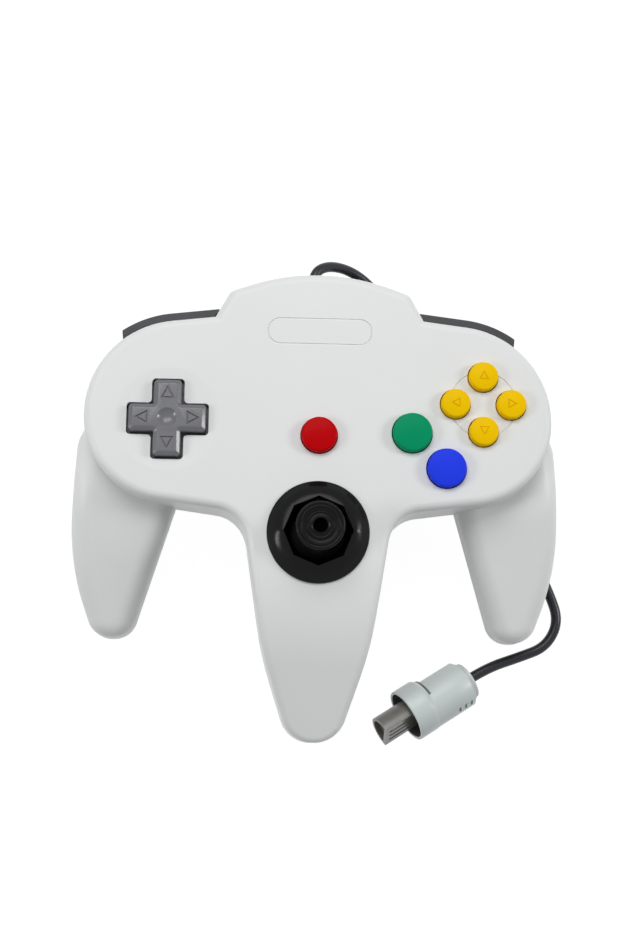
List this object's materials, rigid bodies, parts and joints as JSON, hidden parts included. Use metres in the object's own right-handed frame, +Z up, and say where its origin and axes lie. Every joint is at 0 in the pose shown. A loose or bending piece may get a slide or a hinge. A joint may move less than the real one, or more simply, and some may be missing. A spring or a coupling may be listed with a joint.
{
  "type": "gamepad",
  "caption": "Three-pronged wired gamepad with a thumb stick, direction cross, coloured round buttons, shoulder buttons, rear trigger, accessory slot, and a cord with its plug",
  "frame": {"origin": "on the table under the middle of the casing's box, without the cord and plug", "axes": "+X to the holder's right, +Y away from the holder, towards the cord, +Z up out of the face"},
  "size_m": [0.1656, 0.1627, 0.0625],
  "materials": {
    "shell_grey": "fine satin moulded surface",
    "red_plastic": "glossy",
    "green_plastic": "glossy",
    "blue_plastic": "glossy",
    "yellow_plastic": "glossy",
    "mid_grey_plastic": "satin",
    "dark_grey_plastic": "satin",
    "black_plastic": "satin",
    "white_plastic": "plain",
    "dome_rubber": "soft silicone",
    "cord_rubber": "smooth sheath",
    "board": "lacquered circuit board",
    "steel": "plain",
    "brass_contact": "plated"
  },
  "bodies": {
    "casing": {"front_shell": "shell_grey", "back_shell": "shell_grey", "case_screws": "steel", "main_board": "board", "board_screws": "steel", "direction_mat": "dome_rubber", "face_button_mat": "dome_rubber", "red_button_mat": "dome_rubber", "stick_collar": "black_plastic", "stick_housing": "dark_grey_plastic", "stick_sensor_board": "board", "encoder_sensors": "black_plastic", "stick_spring": "steel", "trigger_pin": "steel", "trigger_spring": "steel", "trigger_board": "board", "trigger_dome": "dome_rubber", "shoulder_pins": "steel", "left_shoulder_board": "board", "left_shoulder_dome": "dome_rubber", "right_shoulder_board": "board", "right_shoulder_dome": "dome_rubber", "stick_screws": "steel", "accessory_connector": "black_plastic", "accessory_contacts": "brass_contact", "cord_header": "white_plastic", "cord_inner_end": "cord_rubber", "cord_lead": "cord_rubber", "cord_tail": "cord_rubber", "cord_coil": "cord_rubber", "cord_grommet": "dark_grey_plastic", "plug_shroud": "shell_grey", "plug_tongue": "dark_grey_plastic", "plug_contacts": "brass_contact"},
    "red": {"red_button": "red_plastic"},
    "green": {"green_button": "green_plastic"},
    "blue": {"blue_button": "blue_plastic"},
    "yellow_up": {"yellow_up_button": "yellow_plastic"},
    "yellow_left": {"yellow_left_button": "yellow_plastic"},
    "yellow_right": {"yellow_right_button": "yellow_plastic"},
    "yellow_down": {"yellow_down_button": "yellow_plastic"},
    "cross_ball": {"cross_pivot_ball": "steel"},
    "cross": {"direction_cross": "mid_grey_plastic"},
    "stick_bail": {"upper_bail": "white_plastic", "y_encoder_wheel": "dark_grey_plastic"},
    "stick": {"stick_shaft": "black_plastic", "stick_cap": "black_plastic"},
    "side_bail": {"lower_bail": "white_plastic", "x_encoder_wheel": "dark_grey_plastic"},
    "trigger": {"rear_trigger": "dark_grey_plastic"},
    "right_shoulder": {"right_shoulder_button": "dark_grey_plastic"},
    "left_shoulder": {"left_shoulder_button": "dark_grey_plastic"}
  },
  "joints": [
    {"name": "red_press", "type": "slide", "parent": "casing", "child": "red", "axis": [0, 0, -1], "range_m": [0, 0.0015], "stiffness_N_per_m": 800, "springref_m": -0.0005, "deforming": ["red_button_mat"]},
    {"name": "green_press", "type": "slide", "parent": "casing", "child": "green", "axis": [0, 0, -1], "range_m": [0, 0.0015], "stiffness_N_per_m": 800, "springref_m": -0.0005, "deforming": ["face_button_mat"]},
    {"name": "blue_press", "type": "slide", "parent": "casing", "child": "blue", "axis": [0, 0, -1], "range_m": [0, 0.0015], "stiffness_N_per_m": 800, "springref_m": -0.0005, "deforming": ["face_button_mat"]},
    {"name": "yellow_up_press", "type": "slide", "parent": "casing", "child": "yellow_up", "axis": [0, 0, -1], "range_m": [0, 0.0015], "stiffness_N_per_m": 800, "springref_m": -0.0005, "deforming": ["face_button_mat"]},
    {"name": "yellow_left_press", "type": "slide", "parent": "casing", "child": "yellow_left", "axis": [0, 0, -1], "range_m": [0, 0.0015], "stiffness_N_per_m": 800, "springref_m": -0.0005, "deforming": ["face_button_mat"]},
    {"name": "yellow_right_press", "type": "slide", "parent": "casing", "child": "yellow_right", "axis": [0, 0, -1], "range_m": [0, 0.0015], "stiffness_N_per_m": 800, "springref_m": -0.0005, "deforming": ["face_button_mat"]},
    {"name": "yellow_down_press", "type": "slide", "parent": "casing", "child": "yellow_down", "axis": [0, 0, -1], "range_m": [0, 0.0015], "stiffness_N_per_m": 800, "springref_m": -0.0005, "deforming": ["face_button_mat"]},
    {"name": "cross_tilt_ahead", "type": "hinge", "parent": "casing", "child": "cross_ball", "pos_m": [-0.0484, 0.0258, 0.0396], "axis": [1, 0, 0], "range_deg": [-4, 4], "stiffness_Nm_per_rad": 0.25, "deforming": ["direction_mat"]},
    {"name": "cross_tilt_side", "type": "hinge", "parent": "cross_ball", "child": "cross", "pos_m": [-0.0484, 0.0258, 0.0396], "axis": [0, 1, 0], "range_deg": [-4, 4], "stiffness_Nm_per_rad": 0.25, "deforming": ["direction_mat"]},
    {"name": "stick_tilt_side", "type": "hinge", "parent": "casing", "child": "stick_bail", "pos_m": [0, -0.0098, 0.034], "axis": [0, 1, 0], "range_deg": [-15, 15], "stiffness_Nm_per_rad": 0.03, "deforming": ["stick_spring"]},
    {"name": "stick_tilt_ahead", "type": "hinge", "parent": "stick_bail", "child": "stick", "pos_m": [0, -0.0098, 0.034], "axis": [1, 0, 0], "range_deg": [-15, 15], "stiffness_Nm_per_rad": 0.03, "deforming": ["stick_spring"]},
    {"name": "side_bail_turn", "type": "hinge", "parent": "casing", "child": "side_bail", "pos_m": [0, -0.0098, 0.034], "axis": [1, 0, 0], "range_deg": [-15, 15]},
    {"name": "trigger_press", "type": "hinge", "parent": "casing", "child": "trigger", "pos_m": [0, 0.013, 0.0243], "axis": [-1, 0, 0], "range_deg": [0, 4.5], "stiffness_Nm_per_rad": 0.3, "springref_deg": -1.15, "deforming": ["trigger_spring"]},
    {"name": "right_shoulder_press", "type": "hinge", "parent": "casing", "child": "right_shoulder", "pos_m": [0.039, 0.0569, 0.0345], "axis": [0, 0, -1], "range_deg": [0, 3.5], "stiffness_Nm_per_rad": 0.3, "springref_deg": -1.15},
    {"name": "left_shoulder_press", "type": "hinge", "parent": "casing", "child": "left_shoulder", "pos_m": [-0.039, 0.0569, 0.0345], "axis": [0, 0, 1], "range_deg": [0, 3.5], "stiffness_Nm_per_rad": 0.3, "springref_deg": -1.15}
  ],
  "couplings": [
    {"joint": "side_bail_turn", "follows": "stick_tilt_ahead", "ratio": 1}
  ]
}
